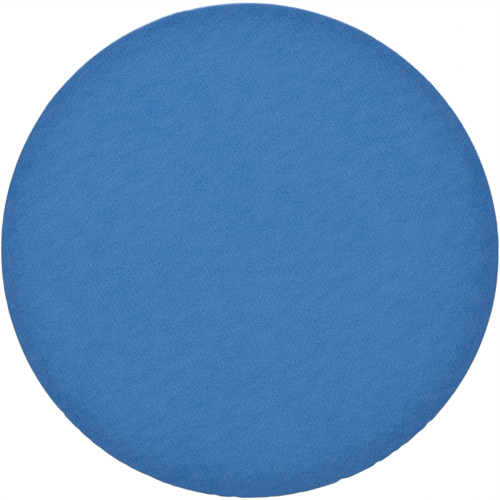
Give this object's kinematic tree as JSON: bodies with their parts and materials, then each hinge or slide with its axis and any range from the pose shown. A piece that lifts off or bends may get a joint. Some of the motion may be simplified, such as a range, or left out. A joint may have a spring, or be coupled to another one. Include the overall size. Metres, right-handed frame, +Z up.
{
  "type": "collapsible backdrop panel",
  "caption": "Round twist-fold fabric backdrop panel: padded blue face over a sprung steel hoop, plain dark back, and a hanging tab with an eyelet.",
  "frame": {"origin": "centre of the hanging eyelet's hole, half way along its wall, on the back near the top", "axes": "+Z up, +Y out of the back towards the hook that the panel hangs on, so the blue face looks along -Y; +X to the right as the face is seen"},
  "size_m": [0.56, 0.0298, 0.56],
  "materials": {
    "face_knit": "brushed stretch knit, matte with a soft frontal sheen",
    "wadding": "polyester wadding",
    "lining": "opaque coated cloth",
    "spring_steel": "blued flat spring wire",
    "casing_tape": "woven tape",
    "back_cloth": "plain woven nylon, slight lustre",
    "hem_tape": "ribbed woven tape",
    "thread": "polyester sewing thread",
    "splice_steel": "crimped zinc-plated sleeve",
    "rivet_aluminium": "set rivets",
    "webbing": "woven polypropylene webbing",
    "eyelet_nickel": "nickel-plated, fine handling marks",
    "label": "blank satin ribbon"
  },
  "bodies": {
    "far_left_section": {"face_cover_far_left": "face_knit", "face_wadding_far_left": "wadding", "lining_far_left": "lining", "hoop_far_left": "spring_steel", "rim_casing_far_left": "casing_tape", "back_cover_far_left": "back_cloth", "hem_tape_far_left": "hem_tape", "hem_stitching_far_left": "thread"},
    "left_section": {"face_cover_left": "face_knit", "face_wadding_left": "wadding", "lining_left": "lining", "hoop_left": "spring_steel", "rim_casing_left": "casing_tape", "back_cover_left": "back_cloth", "hem_tape_left": "hem_tape", "hem_stitching_left": "thread"},
    "middle_section": {"face_cover_middle": "face_knit", "face_wadding_middle": "wadding", "lining_middle": "lining", "hoop_middle": "spring_steel", "rim_casing_middle": "casing_tape", "back_cover_middle": "back_cloth", "hem_tape_middle": "hem_tape", "hem_stitching_middle": "thread", "hoop_splice": "splice_steel", "splice_rivets": "rivet_aluminium", "hang_tab": "webbing", "hang_eyelet": "eyelet_nickel", "eyelet_washer": "eyelet_nickel", "tab_stitching": "thread", "care_label": "label"},
    "right_section": {"face_cover_right": "face_knit", "face_wadding_right": "wadding", "lining_right": "lining", "hoop_right": "spring_steel", "rim_casing_right": "casing_tape", "back_cover_right": "back_cloth", "hem_tape_right": "hem_tape", "hem_stitching_right": "thread"},
    "far_right_section": {"face_cover_far_right": "face_knit", "face_wadding_far_right": "wadding", "lining_far_right": "lining", "hoop_far_right": "spring_steel", "rim_casing_far_right": "casing_tape", "back_cover_far_right": "back_cloth", "hem_tape_far_right": "hem_tape", "hem_stitching_far_right": "thread"}
  },
  "joints": [
    {"name": "bend_left", "type": "hinge", "parent": "middle_section", "child": "left_section", "pos_m": [-0.056, -0.02838, 0], "axis": [0, 0, 1], "range_deg": [0, 45], "stiffness_Nm_per_rad": 3},
    {"name": "bend_far_left", "type": "hinge", "parent": "left_section", "child": "far_left_section", "pos_m": [-0.168, -0.02838, 0], "axis": [0, 0, 1], "range_deg": [0, 45], "stiffness_Nm_per_rad": 3},
    {"name": "bend_right", "type": "hinge", "parent": "middle_section", "child": "right_section", "pos_m": [0.056, -0.02838, 0], "axis": [0, 0, -1], "range_deg": [0, 45], "stiffness_Nm_per_rad": 3},
    {"name": "bend_far_right", "type": "hinge", "parent": "right_section", "child": "far_right_section", "pos_m": [0.168, -0.02838, 0], "axis": [0, 0, -1], "range_deg": [0, 45], "stiffness_Nm_per_rad": 3}
  ],
  "couplings": [
    {"joint": "bend_far_left", "follows": "bend_left", "ratio": 1},
    {"joint": "bend_right", "follows": "bend_left", "ratio": 1},
    {"joint": "bend_far_right", "follows": "bend_left", "ratio": 1}
  ]
}
